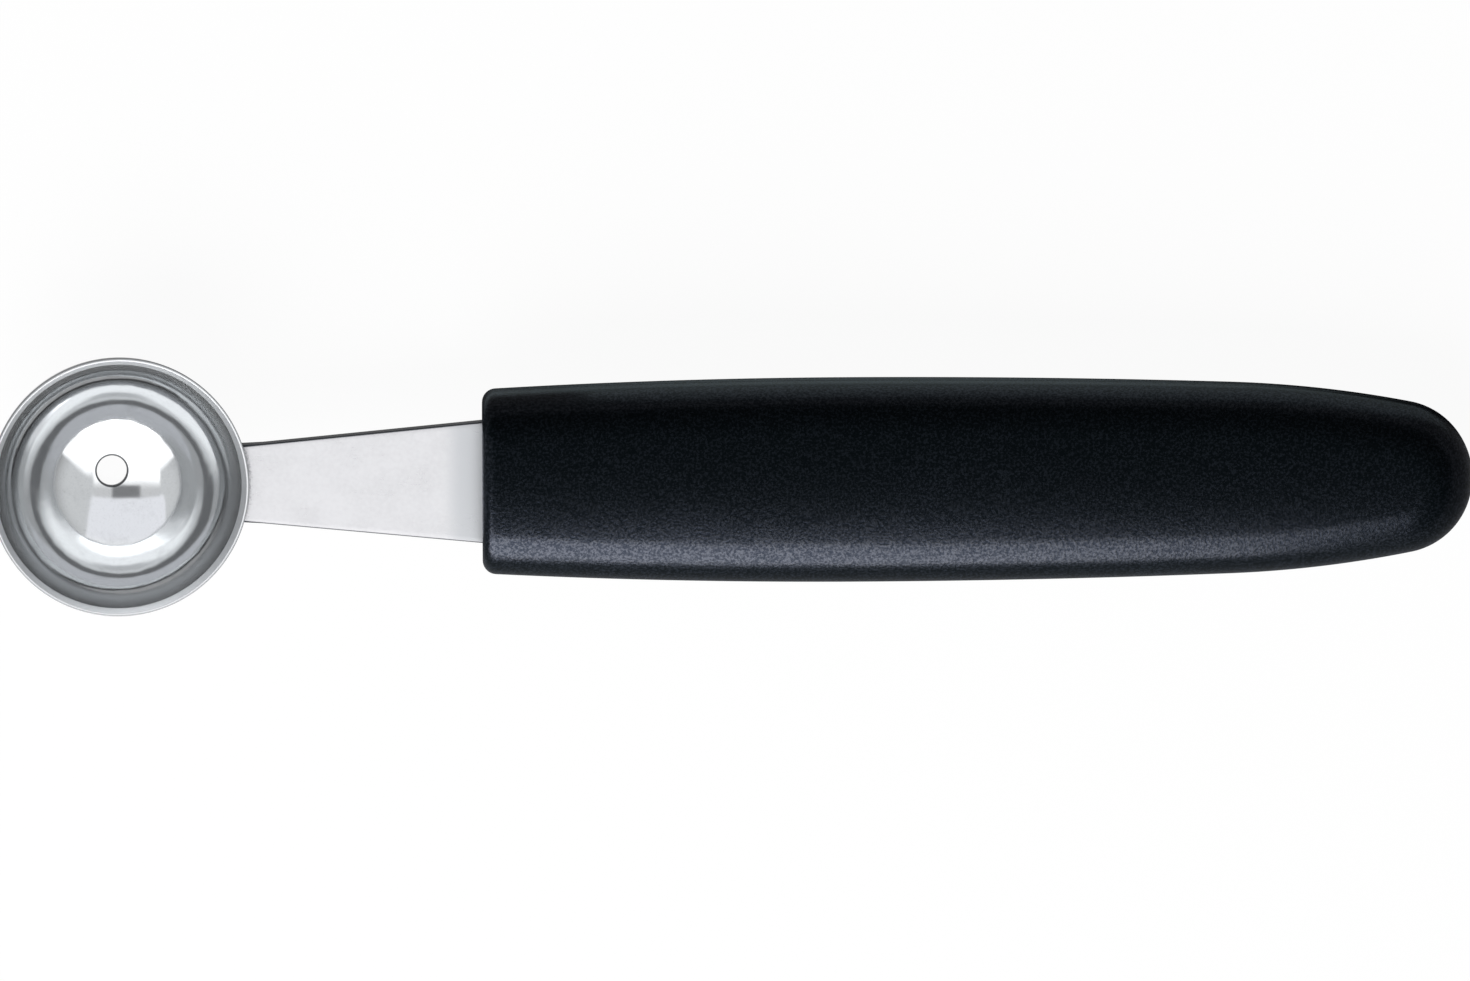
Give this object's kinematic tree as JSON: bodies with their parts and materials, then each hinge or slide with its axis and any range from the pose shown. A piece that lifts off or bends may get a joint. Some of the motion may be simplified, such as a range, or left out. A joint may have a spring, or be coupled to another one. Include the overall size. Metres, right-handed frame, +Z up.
{
  "type": "melon baller",
  "caption": "Kitchen scoop for cutting balls of fruit: polished steel bowl with a drain hole, flat steel strip and a rounded black plastic handle.",
  "frame": {"origin": "centre of the bowl's mouth, in the plane of the rim", "axes": "+X along the tool from the bowl to the handle's butt, +Z up, square to the strip's face and 4.2 degrees from the way the mouth faces, +Y to the left of +X seen from above"},
  "size_m": [0.1709, 0.03, 0.02],
  "materials": {
    "polished_steel": "mirror polished stainless steel, concentric polishing",
    "satin_steel": "satin stainless steel sheet",
    "weld_steel": "stainless weld, brushed clean",
    "black_plastic": "matte black moulded plastic with a fine grain"
  },
  "bodies": {
    "root": {"scoop_bowl": "polished_steel", "shank": "satin_steel", "weld_bead": "weld_steel", "handle": "black_plastic"}
  },
  "joints": []
}
